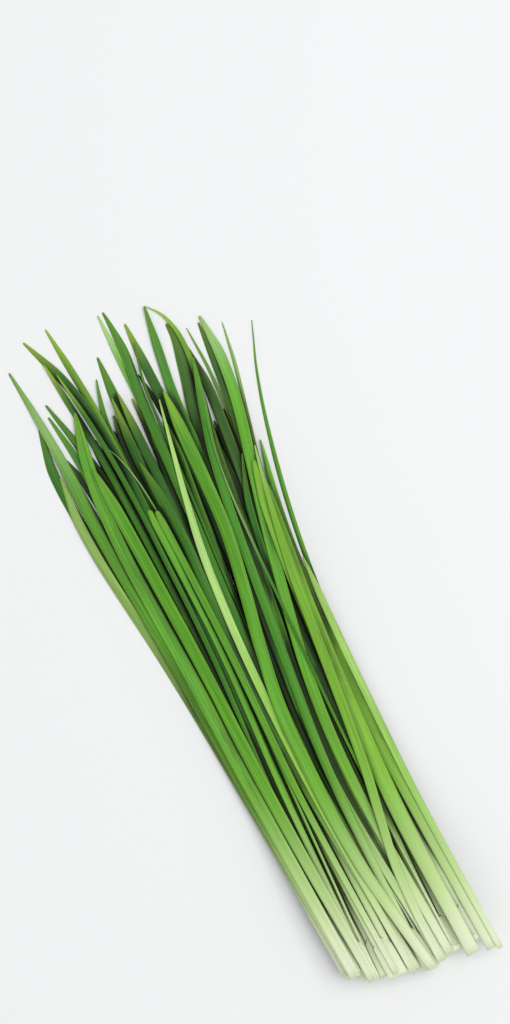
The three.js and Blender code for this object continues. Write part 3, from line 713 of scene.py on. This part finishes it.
def look_of(node, number):
    """The look of one leaf of a node. A bloom or stain is its y and its spread in mm, and its
    strength; a stalk is where it starts to fade and where it ends, in mm from the foot, and
    its strength. A shade is drawn for every leaf, so that a set one changes no other leaf."""
    fold = dice.uniform(0.3, 0.7) * dice.choice([-1, 1])
    drawn_shade = dice.uniform(0.1, 1.1)
    return {
        "fold": fold,
        "shade": SHADES.get(node, drawn_shade) + FILLER_SHADE * node.startswith("shoot"),
        "stalk": STALKS.get((node, number), STALK_REACH),
        "aged": AGED.get(node, USUAL_AGE),
        "bloom": BLOOMS.get((node, number), USUAL_BLOOM),
        "stain": STAINS.get(node, NOWHERE),
    }


# %% [markdown]
# Every solid is now replaced by its grown leaves, with their sheath where they share one. All
# of them ride on the one body of the bunch.

# %% Grow the leaves
slot_of = {part["node"]: part["material_slot"] for part in frame["record"]["subparts"]}
triangles_made = 0
for node, leaves in shoots.items():
    surfaces = [leaf_surface(leaf, look_of(node, number)) for number, leaf in enumerate(leaves)]
    if not node.startswith("leaf"):
        surfaces.append(sheath_surface(node, len(leaves), dice.uniform(0, 1)))
    points, faces, rounded, values = joined(surfaces)
    values["shelter"] = shelter(points)
    piece = mesh_object("grown_" + node, points, faces, rounded, values)
    piece.data.materials.append(skins[slot_of[node]])
    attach(piece, "root")
    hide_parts(node)
    triangles_made += sum(len(face) - 2 for face in faces)
print("pieces:", len(shoots), "triangles:", triangles_made)

# %% [markdown]
# The bunch lies on a plain pale sheet of matte paper, which has no shine, so the shadows stay
# soft and even. A board with edges would do too, but only its top would show. The sheet lies
# a tenth of a millimetre low, so that it never fights with the flat underside of a leaf.

# %% Table
TABLE_SIDE = 4.0
TABLE_GAP = 0.1 * MM
bpy.ops.mesh.primitive_plane_add(size=TABLE_SIDE, location=(0, 0, -TABLE_GAP))
floor = bpy.context.object
floor.name = "floor"
paper = bpy.data.materials.new("matte_paper_table")
paper.use_nodes = True
paper_shader = paper.node_tree.nodes["Principled BSDF"]
paper_shader.inputs["Base Color"].default_value = linear("#F4F5F6")
paper_shader.inputs["Roughness"].default_value = 0.9
floor.data.materials.append(paper)
print("side of the table in m:", floor.dimensions.x)

# %% [markdown]
# The bunch is lit as on a table by a window. A large soft lamp stands high on the right of
# the picture, as the shadows fall to the left. A weak one opposite and a dim sky fill them.
# A single small lamp would be simpler, but its shadows are hard and black.

# %% Light
PICTURE_TURN = math.radians(25)
picture_up = np.array([math.sin(PICTURE_TURN), math.cos(PICTURE_TURN), 0])
picture_right = np.array([math.cos(PICTURE_TURN), -math.sin(PICTURE_TURN), 0])
above = np.array([0, 0, 1])


def soft_lamp(name, place, size, power):
    """A square lamp, with its place and size in metres and its power in watts, turned to
    face the middle of the bunch."""
    lamp = bpy.data.lights.new(name, "AREA")
    lamp.size = size
    lamp.energy = power
    made = bpy.data.objects.new(name, lamp)
    bpy.context.scene.collection.objects.link(made)
    made.location = place.tolist()
    made.rotation_mode = "QUATERNION"
    made.rotation_quaternion = (-made.location).to_track_quat("-Z", "Y")
    return made


key = soft_lamp("key", picture_right * 0.55 + picture_up * 0.25 + above * 1.8, 1.4, 22.6)
fill = soft_lamp("fill", picture_right * -0.5 + picture_up * -0.3 + above * 1.4, 1.2, 0.8)
sky = bpy.data.worlds.new("sky")
bpy.context.scene.world = sky
sky.use_nodes = True
sky.node_tree.nodes["Background"].inputs["Color"].default_value = (1, 1, 1, 1)
sky.node_tree.nodes["Background"].inputs["Strength"].default_value = 0.46
print("lamps stand off in m:", [round(lamp.location.length, 2) for lamp in (key, fill)])

# %% [markdown]
# The camera hangs straight above the table and is turned by 25 degrees, so that the bunch
# crosses the upright picture from upper left to lower right. A camera without perspective
# would look flat, and a short lens would spread the leaves, so it has a long one. The picture
# is 379 mm tall at the table. The Standard view shows the greens as they were picked.

# %% Camera
PICTURE_CENTRE = (17.18 * MM, 44.25 * MM)
PICTURE_HEIGHT = 379 * MM
camera_data = bpy.data.cameras.new("camera")
camera_data.lens = 100
camera_data.sensor_width = 36
camera_data.clip_start = 0.05
camera = bpy.data.objects.new("camera", camera_data)
bpy.context.scene.collection.objects.link(camera)
camera.location = (*PICTURE_CENTRE, PICTURE_HEIGHT * camera_data.lens / camera_data.sensor_width)
camera.rotation_euler = (0, 0, -PICTURE_TURN)
bpy.context.scene.camera = camera
bpy.context.scene.view_settings.view_transform = "Standard"
print("camera height in m:", round(camera.location.z, 3))
